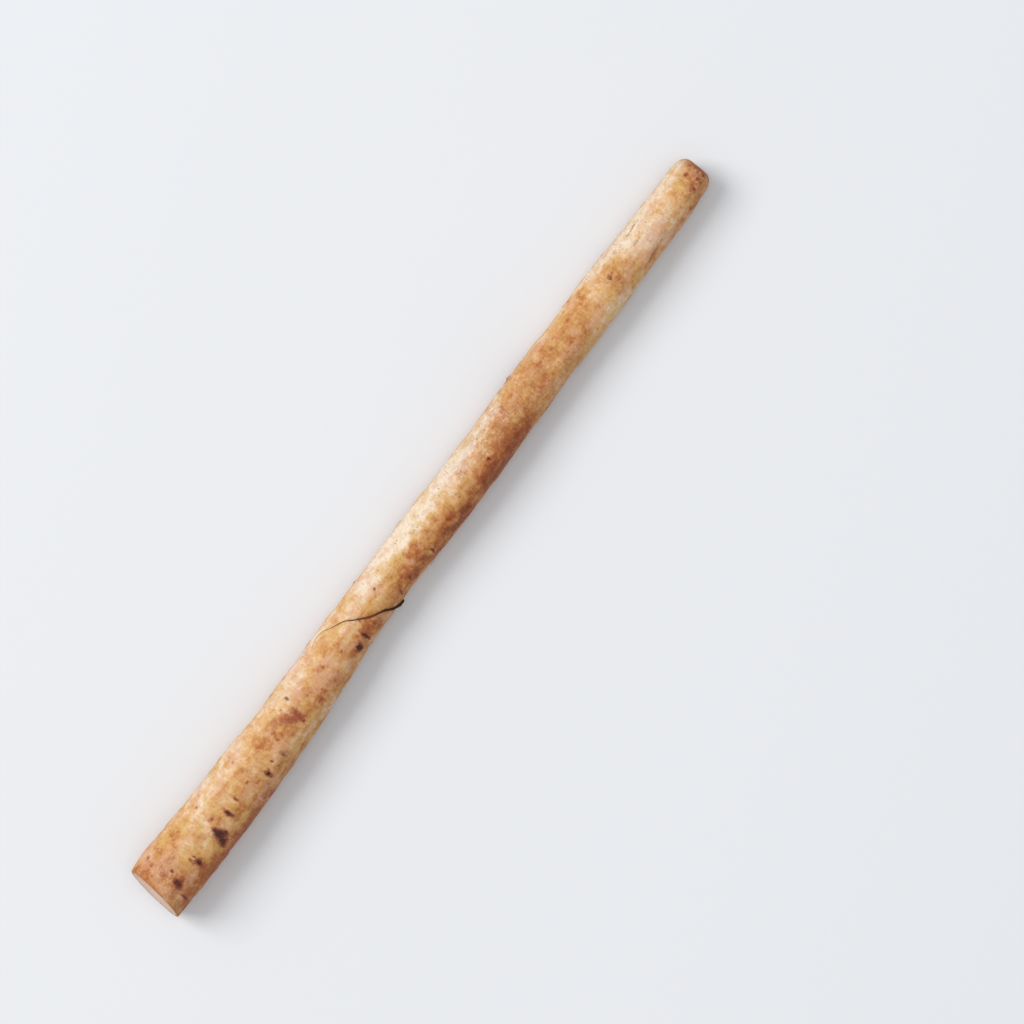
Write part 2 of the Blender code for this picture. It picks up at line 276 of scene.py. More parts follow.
RED = (
    (9.2, 82, 2.2, 2.0, 0.66),
    (5.7, 117, 0.7, 0.7, 0.85),
    (9.3, 54, 2.0, 2.4, 0.6),
    (10.4, 39, 2.2, 1.4, 0.5, -30),
    (10.6, 111, 3.2, 3.5, 0.6),
    (3.6, 124, 2.6, 5.0, 0.34),
    (15.5, 119, 3.4, 4.0, 0.3),
    (23.6, 137, 2.4, 5.0, 0.62),
    (42.6, 88, 1.3, 1.2, 0.75, -20),
    (41.3, 86, 0.9, 0.9, 0.6),
    (39.0, 130, 4.4, 4.4, 0.42),
    (41.5, 147, 3.4, 3.2, 0.6),
    (8.2, 120, 1.8, 2.0, 0.5),
    (55.7, 103, 0.8, 2.0, 0.8),
    (63.8, 145, 0.9, 0.9, 0.8),
    (64.6, 99, 0.9, 0.9, 0.85),
    (42.1, 51, 0.9, 0.8, 0.75),
    (67.7, 51, 0.9, 0.8, 0.7),
    (78.7, 131, 0.7, 0.7, 0.85),
    (87.9, 97, 1.8, 1.7, 0.42),
    (95.0, 79, 2.6, 2.2, 0.62),
    (97.6, 90, 2.6, 2.6, 0.72),
    (99.6, 97, 2.8, 2.8, 0.76),
    (101.5, 94, 1.9, 3.4, 0.82, -8),
    (101.6, 106, 2.0, 3.2, 0.92),
    (112.1, 122, 1.4, 1.1, 0.75),
    (124.7, 87, 1.1, 1.0, 0.78),
    (113.6, 97, 1.6, 1.6, 0.4),
    (141.4, 131, 3.0, 2.8, 0.62),
    (145.5, 138, 3.6, 3.0, 0.42),
    (169.8, 194, 2.6, 2.8, 0.6),
    (185.4, 97, 0.9, 1.5, 0.72),
    (191.8, 96, 0.8, 1.6, 0.72),
    (229.3, 76, 2.2, 1.6, 0.5),
    (241.4, 107, 1.6, 1.7, 0.6),
    (250.4, 86, 1.8, 1.4, 0.42),
    (262.0, 66, 1.8, 2.0, 0.5),
    (337.6, 81, 1.9, 1.8, 0.5),
    (390.7, 106, 2.6, 2.2, 0.5),
    (395.5, 101, 2.2, 3.4, 0.5),
    (397.0, 78, 1.8, 3.0, 0.45),
    (390.6, 115, 0.9, 0.9, 0.75),
    (394.7, 121, 0.9, 0.9, 0.75),
    (395.2, 108, 0.9, 1.0, 0.8),
    (398.2, 118, 1.1, 1.6, 0.85),
    (397.9, 69, 0.9, 1.6, 0.6),
    (399.3, 100, 0.9, 7.0, 0.95),
)
BROWN = (
    (23.0, 138, 1.9, 4.2, 0.85),
    (24.0, 152, 5.0, 3.0, 0.5),
    # Painted shade: brown bands along the lower edge near the crown
    (33.0, 168, 16.0, 2.4, 0.5, 4),
    (74.0, 174, 18.0, 2.4, 0.5, -3),
    (67.9, 82, 1.6, 4.2, 0.55, -35),
    (65.3, 74, 1.4, 1.4, 0.4),
    (81.8, 59, 3.2, 1.6, 0.35),
    (92.4, 72, 3.0, 2.6, 0.85, 20),
    (88.5, 66, 2.6, 1.8, 0.45),
    (105.2, 112, 1.8, 2.6, 0.5),
    (95.6, 83, 3.6, 3.4, 0.7, 30),
    (132.5, 63, 1.2, 3.2, 0.45, 10),
    (125.5, 64, 8.0, 4.0, 0.22),
    (118.0, 93, 5.0, 3.0, 0.2),
    (148.0, 127, 6.0, 3.6, 0.34),
    (182.0, 88, 24.0, 2.4, 0.4),
    (211.4, 67, 4.0, 2.0, 0.28),
    (229.3, 76, 3.4, 2.8, 0.34),
    (234.0, 86, 4.0, 3.0, 0.2),
    (249.3, 61, 1.8, 1.8, 0.42),
    (257.1, 97, 1.2, 3.2, 0.5),
    (257.4, 75, 3.0, 1.8, 0.4),
    (263.0, 64, 2.0, 2.4, 0.5),
    (251.0, 104, 6.0, 3.0, 0.3),
    (265.0, 84, 4.0, 3.0, 0.35),
    (342.0, 72, 6.5, 6.5, 0.3),
    (337.2, 80, 1.7, 1.7, 0.7),
    (337.9, 116, 2.6, 2.6, 0.5),
    (336.6, 83, 1.4, 2.0, 0.6),
    (346.5, 46, 2.2, 3.0, 0.35),
    (357.5, 134, 6.2, 1.0, 0.75, -3),
    (363.8, 129, 2.2, 0.7, 0.55, -20),
    (359.6, 48, 5.0, 0.5, 0.5, -4),
    (370.5, 66, 5.0, 0.5, 0.42, 28),
    (380.4, 112, 0.6, 3.0, 0.5),
    (376.5, 116, 6.0, 3.0, 0.35),
    (387.9, 116, 4.5, 3.6, 0.45),
    (396.0, 112, 3.5, 5.5, 0.4),
    (398.5, 60, 2.2, 8.0, 0.5),
)
OLIVE = (
    (41.2, 131, 1.4, 1.1, 0.55),
    (36.5, 112, 2.0, 2.0, 0.3),
    (83.8, 124, 1.0, 2.5, 0.8, 10),
    (76.4, 96, 1.0, 0.9, 0.4),
    (103.9, 63, 1.0, 1.3, 0.8),
    (50.5, 80, 3.2, 1.2, 0.32),
    (35.0, 66, 1.8, 1.6, 0.28),
    (197.1, 70, 4.2, 1.5, 0.35, 10),
    (156.0, 61, 2.6, 1.6, 0.32),
    (149.3, 65, 2.4, 1.2, 0.3),
    (356.4, 80, 1.5, 0.8, 0.62),
)
# Broad patches that make the skin paler (below 0) or deeper in tone (above 0). Most are the skin's
# own tone, but some rows are painted shade along the lower side and some are painted highlight
# along the lit side.
TONES_AND_PAINTED_LIGHT = (
    (6, 125, 14, 16, 0.3),
    (9, 55, 9, 12, -0.08),
    (3, 30, 5, 6, 0.35),
    (28, 52, 10, 4, 0.25),
    (34, 82, 10, 7, -0.1),
    (64, 54, 26, 6, -0.22),
    (30, 120, 10, 8, 0.14),
    # Painted shade along the lower side
    (50, 165, 40, 5, 0.45),
    (87, 80, 9, 7, 0.27),
    (78, 135, 11, 4, 0.15),
    (111, 112, 10, 5, 0.08),
    (130, 68, 6, 5, 0.16),
    (152, 127, 6, 4, 0.26),
    (105, 50, 22, 5, -0.12),
    (115, 92, 16, 8, 0.08),
    (140, 122, 14, 7, 0.13),
    # Partly the skin's own cream and partly painted highlight along the lit side
    (178, 52, 30, 5.5, -0.48),
    (220, 48, 24, 4.5, -0.48),
    (196, 92, 26, 4, 0.16),
    # Painted shade along the lower side, from about 160 to 265 mm
    (182, 138, 24, 6, 0.2),
    (212, 142, 22, 6, 0.58),
    (246, 138, 20, 7, 0.5),
    # Partly the skin's own cream and partly painted highlight along the lit side
    (250, 46, 15, 4, -0.34),
    (239, 45, 8, 4, -0.2),
    (268, 52, 6, 5, 0.18),
    (236, 90, 9, 8, 0.12),
    (258, 88, 12, 8, 0.08),
    (290, 115, 20, 12, 0.14),
    (318, 85, 16, 12, 0.05),
    (341, 62, 6, 5, 0.18),
    # Painted highlight on the top and lit side near the thin end
    (362, 78, 12, 11, -0.38),
    (352, 45, 10, 4, -0.25),
    (385, 52, 9, 6, -0.34),
    (388, 92, 7, 6, 0.16),
    # Painted shade along the lower side
    (358, 148, 12, 5, 0.2),
    (382, 118, 8, 5, -0.08),
    # Painted shade along the lower side
    (384, 158, 12, 3, 0.3),
    (397, 85, 4, 9, -0.07),
    # Painted highlight along the lit edge
    (120, 19, 46, 4.6, -0.38),
    (235, 18, 66, 4.4, -0.32),
    (352, 20, 44, 4.4, -0.34),
    # Painted shade along the lower side
    (190, 158, 30, 3.4, 0.14),
    # Painted highlight along the lit edge
    (62, 20, 36, 4.0, -0.2),
    # Painted shade along the lower side, here and near the crown
    (262, 142, 12, 5.0, 0.34),
    (24, 154, 8, 4, 0.1),
    (23.6, 110, 1.1, 1.5, -0.5),
)
# Broad patches where the skin is rosier (above 0) or more golden (below 0)
FLUSHES = (
    (9, 60, 10, 14, 1.2),
    (6, 120, 10, 10, 0.5),
    (27, 50, 9, 4, -1.0),
    (32, 112, 12, 9, -0.45),
    (46, 88, 8, 5, -0.6),
    (60, 50, 30, 6, 0.5),
    (88, 70, 10, 7, -0.7),
    (118, 80, 14, 8, 0.4),
    (142, 128, 10, 6, 0.5),
    (170, 100, 14, 4, -0.5),
    (190, 72, 16, 4, -0.6),
    (230, 105, 10, 6, -0.3),
    (341, 70, 7, 6, -0.7),
    (360, 110, 12, 8, 0.7),
    (387, 82, 8, 8, -0.8),
    (398, 100, 5, 14, 0.6),
)
# Where the brown net of thicker skin shows
NETTED = (
    (7, 100, 12, 20, 0.5),
    # Partly the skin's net, partly painted shade: it darkens and breaks up the painted shade along
    # the lower side
    (50, 165, 40, 6, 0.8),
    (60, 130, 20, 6, 0.2),
    (112, 105, 12, 7, 0.25),
    (253, 95, 24, 13, 0.75),
    (290, 110, 20, 14, 0.35),
    # Partly the skin's net, partly painted shade along the lower side
    (200, 140, 50, 6, 0.5),
    (342, 85, 10, 9, 0.25),
    (394, 100, 9, 14, 0.5),
)

# Marks between these angles, where the tables above don't reach, drawn by a seed
UNSEEN = (168.0, 372.0)
UNSEEN_SEED = 23
UNSEEN_MARKS = 96
UNSEEN_SIZE = (0.7, 2.6)
UNSEEN_DARK_SIZE = (0.4, 1.0)
UNSEEN_STRENGTH = (0.35, 0.8)
OLIVE_SHARE = 0.6  # of that strength
UNSEEN_PATCHES = 26
PATCH_ALONG = (10, 30)
PATCH_ROUND = (5, 11)
# Small specks all over the root
SPECKLE_SEED = 31
SPECKLES = 120
SPECKLE_SIZE = (0.4, 0.75)
SPECKLE_STRENGTH = (0.25, 0.5)

# How far the skin is browned from the crown cut, and the share by which the distance to the
# thin end's cut counts
BROWNED = 1.6
BROWNED_TIP_SHARE = 0.45

# Fineness of the skin's mesh
RINGS = 730
SIDES = 120
CROWN_RIM_RINGS = 6
TIP_RIM_RINGS = 14
CAP_RINGS = 22


def curve(x, y, at):
    """Values at these places on a smooth curve through the points (x, y)."""
    slope = np.gradient(y, x)
    row = np.clip(np.searchsorted(x, at) - 1, 0, len(x) - 2)
    gap = x[row + 1] - x[row]
    t = np.clip((at - x[row]) / gap, 0.0, 1.0)
    return (
        y[row] * (1 + 2 * t) * (1 - t) ** 2
        + slope[row] * gap * t * (1 - t) ** 2
        + y[row + 1] * t**2 * (3 - 2 * t)
        + slope[row + 1] * gap * t**2 * (t - 1)
    )


def smooth(column, distance):
    """A column of STATIONS at these distances."""
    return curve(STATIONS[:, 0], STATIONS[:, column], distance)


def turn_between(angle, other):
    """The angle from other to angle, between -pi and pi."""
    return (angle - other + np.pi) % (2 * np.pi) - np.pi


def fade(value, low, high):
    """0 at low, 1 at high and smooth between them."""
    t = np.clip((value - low) / (high - low), 0.0, 1.0)
    return t * t * (3 - 2 * t)


def grain(distance, angle, wave, lobes, shift):
    """Smooth noise from about -1 to 1 that wraps round the root, with this wavelength along it."""
    turn = lobes * np.stack((np.cos(angle), np.sin(angle)), axis=1)
    along = distance / wave + shift
    return np.array([noise.noise(Vector((d, y + shift, z))) for d, (y, z) in zip(along, turn)])


def all_scars():
    """Every scar: those that show and, in rows on the hidden sides, those drawn by the seed."""
    draw = random.Random(HIDDEN_SEED)
    scars = list(SCARS)
    for row in HIDDEN_ROWS:
        at = draw.uniform(8, HIDDEN_GAP[0])
        while at < LENGTH - 6:
            along = draw.uniform(1.1, 1.7)
            turn = row + draw.uniform(-9, 9)
            scars.append((at, turn, along, along * draw.uniform(1.5, 2.2), draw.uniform(0.3, 0.5)))
            at += draw.uniform(*HIDDEN_GAP)
    return scars


def lumps(distance, angle):
    """Slow swellings all over the root, as in its solid."""
    height = np.zeros(len(distance))
    for wave, lobes, size in LUMPS:
        for i, (d, a) in enumerate(zip(distance, angle)):
            point = Vector((d / wave, lobes * math.cos(a), lobes * math.sin(a)))
            height[i] += size * noise.noise(point + Vector((wave, wave, 0)))
    return height


def creases(distance, angle):
    """Grooves across the root: the solid's shallow valleys, each with a narrow wavering groove."""
    draw = random.Random(CREASE_SEED)
    waver = sum(size * grain(distance, angle, *pattern) for size, pattern in CREASE_WAVERS)
    height = np.zeros(len(distance))
    for _ in range(CREASES):
        at = draw.randint(2, int(LENGTH / CREASE_GAP) - 3) * CREASE_GAP
        middle = draw.uniform(-np.pi, np.pi)
        depth = draw.uniform(*CREASE_DEPTH)
        span = draw.uniform(*CREASE_SPAN)
        window = np.clip(1 - (turn_between(angle, middle) / span) ** 2, 0, 1)
        off = (distance - at) / CREASE_WIDTH
        height += BROAD_SHARE * depth * window * (BROAD_LIP * off**2 - 1) * np.exp(-(off**2))
        off = (distance - at + waver) / (GROOVE_WIDTH * CREASE_WIDTH)
        narrow = GROOVE_SHARE * depth * window**2 * (GROOVE_LIP * off**2 - 1)
        height += narrow * np.exp(-(off**2))
    return height


def knob(distance, angle):
    """The swelling in the bruised patch."""
    at, turn, size, rise = KNOB
    across = turn_between(angle, math.radians(turn)) * smooth(1, distance)
    return rise * np.exp(-((np.hypot(distance - at, across) / size) ** 2))


def fine_relief(distance, angle):
    """Transverse wrinkles in places, pores and faint lengthwise striae."""
    where = fade(grain(distance, angle, *WRINKLED), -0.25, 0.35)
    ridged = 0.5 - 2.0 * np.abs(grain(distance, angle, *WRINKLES))
    height = WRINKLE_HEIGHT * ridged * (0.3 + 0.7 * where)
    height += PORE_HEIGHT * grain(distance, angle, *PORES)
    return height + STRIA_HEIGHT * grain(distance, angle, *STRIAE)


def far_from(distance, angle, at, turn, along, across, tilt=0):
    """How far places are from a mark's middle: 1 at its edge."""
    radius = smooth(1, at)
    x = distance - at
    y = turn_between(angle, math.radians(turn)) * radius
    lean = math.radians(tilt)
    return np.hypot(
        (x * math.cos(lean) + y * math.sin(lean)) / along,
        (y * math.cos(lean) - x * math.sin(lean)) / across,
    )


def scar_rims(distance, angle):
    """The raised lips round the scars, open and uneven here and there."""
    uneven = 0.75 + 0.6 * grain(distance, angle, *LIP_BREAKS)
    height = np.zeros(len(distance))
    for at, turn, along, across, rise in all_scars() + [ROOTLET_SCAR]:
        far = far_from(distance, angle, at, turn, along, across)
        height += rise * uneven * np.exp(-(((far - LIP_PLACE) / LIP_WIDTH) ** 2))
        height -= MIDDLE_DEPTH * rise * np.exp(-((far / MIDDLE_REACH) ** 4))
    return height


def crisp(far, strength):
    """A mark with a flat middle and a steep edge."""
    return strength / (1 + far**4)


def soft(far, strength):
    """A mark that fades from its middle."""
    return strength * np.exp(-0.8 * far**2)


def broad(far, strength):
    """A patch that fades from its middle to far past its edge."""
    return strength * np.exp(-(far**2))


# Each kind of mark: its table, its profile, and how it joins others of its kind
KINDS = {
    "dark": (DARK, crisp, np.maximum),
    "cool": (COOL, soft, np.maximum),
    "red": (RED, soft, np.maximum),
    "brown": (BROWN, soft, np.maximum),
    "olive": (OLIVE, soft, np.maximum),
    "tone": (TONES_AND_PAINTED_LIGHT, broad, np.add),
    "netted": (NETTED, broad, np.add),
    "flush": (FLUSHES, broad, np.add),
}


def unseen_marks():
    """Marks for the sides that the given tables don't reach, and small specks all over."""
    draw = random.Random(UNSEEN_SEED)
    tables = {kind: [] for kind in KINDS}
    for at, turn, along, across, _ in all_scars()[len(SCARS):]:
        tables["dark"].append((at, turn, 0.55 * along, 0.75 * across, 0.9, draw.uniform(-8, 8)))
        strength = draw.uniform(0.3, 0.7)
        tables["red"].append((at, turn + 4, 1.6 * along, 1.3 * across, strength))
        if draw.random() < 0.4:
            tables["cool"].append((at, turn, 0.4 * along, 0.5 * across, 0.6))
    for _ in range(UNSEEN_MARKS):
        kind = draw.choice(("dark", "red", "red", "brown", "brown", "olive"))
        at, turn = draw.uniform(3, LENGTH - 3), draw.uniform(*UNSEEN)
        along = draw.uniform(*(UNSEEN_DARK_SIZE if kind == "dark" else UNSEEN_SIZE))
        across = along * draw.uniform(0.8, 2.2)
        tilt = draw.uniform(-20, 20)
        strength = draw.uniform(*UNSEEN_STRENGTH) * (OLIVE_SHARE if kind == "olive" else 1)
        tables[kind].append((at, turn, along, across, strength, tilt))
    for _ in range(UNSEEN_PATCHES):
        at, turn = draw.uniform(0, LENGTH), draw.uniform(*UNSEEN)
        along, across = draw.uniform(*PATCH_ALONG), draw.uniform(*PATCH_ROUND)
        tables["tone"].append((at, turn, along, across, draw.uniform(-0.28, 0.3)))
        for kind, least, most in (("netted", 0.1, 0.6), ("flush", -0.9, 0.9)):
            turn = draw.uniform(*UNSEEN)
            tables[kind].append((at, turn, along, across, draw.uniform(least, most)))
    draw = random.Random(SPECKLE_SEED)
    for _ in range(SPECKLES):
        kind = draw.choice(("red", "brown", "brown", "olive", "dark"))
        at, turn = draw.uniform(2, LENGTH - 2), draw.uniform(0, 360)
        along = draw.uniform(*SPECKLE_SIZE)
        across = along * draw.uniform(0.8, 2.4)
        tilt = draw.uniform(-15, 15)
        strength = draw.uniform(*SPECKLE_STRENGTH)
        tables[kind].append((at, turn, along, across, strength, tilt))
    return tables


def mark_fields(distance, angle):
    """The skin's fields of colour: for each kind of mark, one number for each place."""
    warp_along, warp_round = np.zeros(len(distance)), np.zeros(len(distance))
    for size, wave, lobes, along_from, round_from in WARPS:
        warp_along += size * grain(distance, angle, wave, lobes, along_from)
        warp_round += size * grain(distance, angle, wave, lobes, round_from)
    place = (distance + warp_along, angle + warp_round / smooth(1, distance))
    unseen = unseen_marks()
    fields = {}
    for kind, (table, profile, join) in KINDS.items():
        amount = np.zeros(len(distance))
        for at, turn, along, across, strength, *tilt in table + tuple(unseen[kind]):
            far = far_from(*place, at, turn, along, across, *tilt)
            amount = join(amount, profile(far, strength))
        fields[kind] = amount
    fields["netted"] = np.clip(fields["netted"], 0, 1)
    return fields


def skin(distance, angle, share=None, relief=None):
    """Points of the root before it is centred.

    share is 1 on the skin and runs to 0 at the middle of a cut face."""
    share = np.ones(len(distance)) if share is None else share
    radius = smooth(1, distance)
    if relief is None:
        relief = full_relief(distance, angle, mark_fields(distance, angle)["dark"])
    oval = 1 + OVAL * np.cos(2 * angle - OVAL_PHASE + distance / OVAL_TWIST)
    near_crown = np.clip(1 - distance / CROWN_RIM, 0, 1)
    near_tip = np.clip(1 - (LENGTH - distance) / TIP_RIM, 0, 1)
    rim = CROWN_RIM * (1 - np.sqrt(1 - near_crown**2)) + TIP_RIM * (1 - np.sqrt(1 - near_tip**2))
    reach = (radius * oval + relief - rim * RIM_SHARE) * share
    side, up = reach * np.cos(angle), reach * np.sin(angle)
    crown_fade = np.clip(1 - distance / LEAN_FADE, 0, 1) ** 2
    tip_fade = np.clip(1 - (LENGTH - distance) / LEAN_FADE, 0, 1) ** 2
    lean = crown_fade * (side * CROWN_LEAN_SIDE + up * CROWN_LEAN_UP) / (2 * radius)
    lean += tip_fade * (side * TIP_LEAN_SIDE + up * TIP_LEAN_UP) / (2 * radius)
    hollow = CUT_RELIEF * (1 - share**2) * np.where(distance < LENGTH / 2, 1, -1)
    height = np.maximum(smooth(3, distance) + radius + up, 0.0)
    return np.stack((distance + lean + hollow, smooth(2, distance) + side, height), axis=1)


def full_relief(distance, angle, dark):
    """Everything that stands out of or is sunk in the root's plain section."""
    relief = lumps(distance, angle) + creases(distance, angle) + knob(distance, angle)
    relief += scar_rims(distance, angle) + fine_relief(distance, angle)
    return relief - PIT_DEPTH * fade(dark, 0.3, 0.8)


def ring_table():
    """Distance and share of each ring of vertices, from one cut's middle to the other's."""
    quarter = np.linspace(0, np.pi / 2, CROWN_RIM_RINGS)
    crown = CROWN_RIM * (1 - np.cos(quarter))
    quarter = np.linspace(np.pi / 2, 0, TIP_RIM_RINGS)
    tip = LENGTH - TIP_RIM * (1 - np.cos(quarter))
    body = np.linspace(CROWN_RIM, LENGTH - TIP_RIM, RINGS)[1:-1]
    outside = np.concatenate((crown, body, tip))
    shares = np.linspace(0, 1, CAP_RINGS + 1)[1:-1]
    distance = np.concatenate((np.zeros(len(shares)), outside, np.full(len(shares), LENGTH)))
    share = np.concatenate((shares, np.ones(len(outside)), shares[::-1]))
    return distance, share


def loft_faces(rings, sides):
    """Faces of a closed loft: rings of vertices in order, then a middle vertex for each end."""
    first = np.arange(rings - 1)[:, None] * sides
    here = np.arange(sides)[None, :]
    after = (here + 1) % sides
    following = first + sides
    quads = np.stack((first + here, following + here, following + after, first + after), axis=-1)
    faces = [tuple(quad) for quad in quads.reshape(-1, 4).tolist()]
    start, end = rings * sides, rings * sides + 1
    last = (rings - 1) * sides
    for i in range(sides):
        j = (i + 1) % sides
        faces.append((start, i, j))
        faces.append((end, last + j, last + i))
    return faces


def add_object(name, data):
    """An object with this data, in the scene."""
    thing = bpy.data.objects.new(name, data)
    bpy.context.scene.collection.objects.link(thing)
    return thing


def make_piece(name, points, faces, *materials):
    """A piece of the root as an object that rides on its body, from points in the root's frame."""
    mesh = bpy.data.meshes.new(name)
    mesh.from_pydata([Vector(point * MM) for point in points], [], faces)
    for finish in materials:
        mesh.materials.append(finish)
    mesh.shade_smooth()
    piece = add_object(name, mesh)
    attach(piece, BODY)
    return piece


def add_field(mesh, name, values):
    """Adds a number for each point, by this name."""
    field = mesh.attributes.new(name, "FLOAT", "POINT")
    field.data.foreach_set("value", values.astype(np.float32))


# How far light spreads under the skin, and the share of that for red, green and blue
SUBSURFACE_SCALE = 2.0
SUBSURFACE_RADIUS = (1.0, 0.45, 0.2)
BUMP_STRENGTH = 0.6


class Paint:
    """Shorthands for one material's nodes. Lengths are in millimetres on the root."""

    def __init__(self, name, roughness, specular=0.3, subsurface=0.0):
        self.material = bpy.data.materials.new(name)
        self.material.use_nodes = True
        self.tree = self.material.node_tree
        self.shader = self.tree.nodes["Principled BSDF"]
        self.shader.inputs["Roughness"].default_value = roughness
        self.shader.inputs["Specular IOR Level"].default_value = specular
        self.shader.inputs["Subsurface Weight"].default_value = subsurface
        self.shader.inputs["Subsurface Radius"].default_value = SUBSURFACE_RADIUS
        self.shader.inputs["Subsurface Scale"].default_value = SUBSURFACE_SCALE * MM
        self.place = self.add("TexCoord").outputs["Object"]

    def add(self, kind, inputs=None, **settings):
        """A node of this kind with these inputs and settings."""
        node = self.tree.nodes.new("ShaderNode" + kind)
        for name, value in settings.items():
            setattr(node, name, value)
        for key, value in (inputs or {}).items():
            self.feed(node.inputs[key], value)
        return node

    def feed(self, socket, value):
        """Links an output to a socket or sets the socket. Colours are opaque."""
        if isinstance(value, bpy.types.NodeSocket):
            self.tree.links.new(value, socket)
        else:
            socket.default_value = (*value, 1.0) if socket.type == "RGBA" else value

    def field(self, name):
        """The number that each point holds by this name."""
        return self.add("Attribute", attribute_name=name).outputs["Fac"]

    def maths(self, operation, *values):
        return self.add("Math", dict(enumerate(values)), operation=operation).outputs[0]

    def times(self, first, second, *third):
        """first times second, plus a third if there is one."""
        return self.maths("MULTIPLY_ADD" if third else "MULTIPLY", first, second, *third)

    def scaled(self, along, across=None):
        """Coordinates in which a pattern's cells are this long along and across the root."""
        across = across or along
        size = (1 / (along * MM), 1 / (across * MM), 1 / (across * MM))
        return self.add("Mapping", {"Vector": self.place, "Scale": size}).outputs[0]

    def clouds(self, place, scale=1.0, detail=3.0, roughness=0.5):
        """A noise node at these coordinates."""
        inputs = {"Vector": place, "Scale": scale, "Detail": detail, "Roughness": roughness}
        return self.add("TexNoise", inputs)

    def noise(self, along, across=None, detail=3.0, roughness=0.5):
        place = self.scaled(along, across)
        return self.clouds(place, detail=detail, roughness=roughness).outputs["Fac"]

    def cells(self, along, across=None, feature="F1", warp=0.35):
        """Voronoi cells with wavering walls."""
        place = self.scaled(along, across)
        inputs = {0: self.clouds(place, 1.7, 2.0).outputs["Color"], 1: (0.5, 0.5, 0.5)}
        shift = self.add("VectorMath", inputs, operation="SUBTRACT")
        inputs = {0: shift.outputs[0], "Scale": warp}
        shift = self.add("VectorMath", inputs, operation="SCALE")
        moved = self.add("VectorMath", {0: place, 1: shift.outputs[0]})
        inputs = {"Vector": moved.outputs[0], "Scale": 1.0}
        return self.add("TexVoronoi", inputs, feature=feature).outputs["Distance"]

    def step(self, value, low, high, top=1.0):
        """0 at low, top at high and smooth between them."""
        inputs = {"Value": value, "From Min": low, "From Max": high, "To Max": top}
        return self.add("MapRange", inputs, interpolation_type="SMOOTHSTEP").outputs[0]

    def mix(self, share, first, second):
        return self.add("Mix", {0: share, 6: first, 7: second}, data_type="RGBA").outputs[2]

    def ramp(self, value, *stops):
        """A colour for each value, from (position, colour) stops."""
        node = self.add("ValToRGB", {0: value})
        elements = node.color_ramp.elements
        while len(elements) < len(stops):
            elements.new(0.5)
        for element, (position, tint) in zip(elements, stops):
            element.position = position
            element.color = (*tint, 1.0)
        return node.outputs[0]

    def bump(self, height, distance):
        inputs = {"Height": height, "Distance": distance * MM, "Strength": BUMP_STRENGTH}
        self.feed(self.shader.inputs["Normal"], self.add("Bump", inputs).outputs[0])

    def coloured(self, base):
        """The material with this base colour."""
        self.feed(self.shader.inputs["Base Color"], base)
        return self.material


# The skin's tones, pale to deep: place on the ramp and colour. The palest stop also serves the
# painted highlight on the lit side, and the deepest ones the painted shade on the lower side.
TONE_RAMP = (
    (0.0, (0.79, 0.665, 0.52)),
    (0.165, (0.74, 0.53, 0.34)),
    (0.315, (0.67, 0.385, 0.165)),
    (0.465, (0.56, 0.265, 0.088)),
    (0.6, (0.43, 0.148, 0.043)),
    (0.77, (0.28, 0.065, 0.022)),
    (1.0, (0.14, 0.034, 0.014)),
)
TONE_SPAN = 1.33  # the tone at the ramp's deep end
BASE_TONE = 0.47
PINK_TAN = (0.655, 0.36, 0.235)
STRAW = (0.62, 0.39, 0.12)
FLECK_TAN = (0.55, 0.28, 0.11)
NET_BROWN = (0.34, 0.115, 0.04)
WARM_BROWN = (0.40, 0.145, 0.04)
RED_BROWN = (0.32, 0.075, 0.038)
OLIVE_GREEN = (0.30, 0.215, 0.088)
DARK_PURPLE = (0.065, 0.021, 0.017)
SLATE = (0.055, 0.045, 0.05)


def skin_tone_and_painted_light(paint, *layers):
    """The skin's colour and tone: cream to deep tan with rosy and golden patches, painted shade
    along the lower side and painted highlight along the lit side.
    """
    uneven = paint.times(paint.noise(10.0, 7.0), 1.7, 0.15)
    tone = paint.times(paint.field("tone"), uneven)
    tone = paint.maths("ADD", tone, BASE_TONE - 0.5 * sum(share for _, share in layers))
    for pattern, share in layers:
        tone = paint.times(pattern, share, tone)
    base = paint.ramp(paint.maths("DIVIDE", tone, TONE_SPAN), *TONE_RAMP)
    hue = paint.noise(9.0, 7.0, detail=4.0, roughness=0.6)
    hue = paint.times(paint.field("flush"), 0.12, hue)
    not_deep = paint.step(tone, 0.85, 0.55)
    for low, high, amount, tint in ((0.5, 0.64, 0.55, PINK_TAN), (0.48, 0.35, 0.5, STRAW)):
        share = paint.times(paint.step(hue, low, high, amount), not_deep)
        base = paint.mix(share, base, tint)
    return base, tone


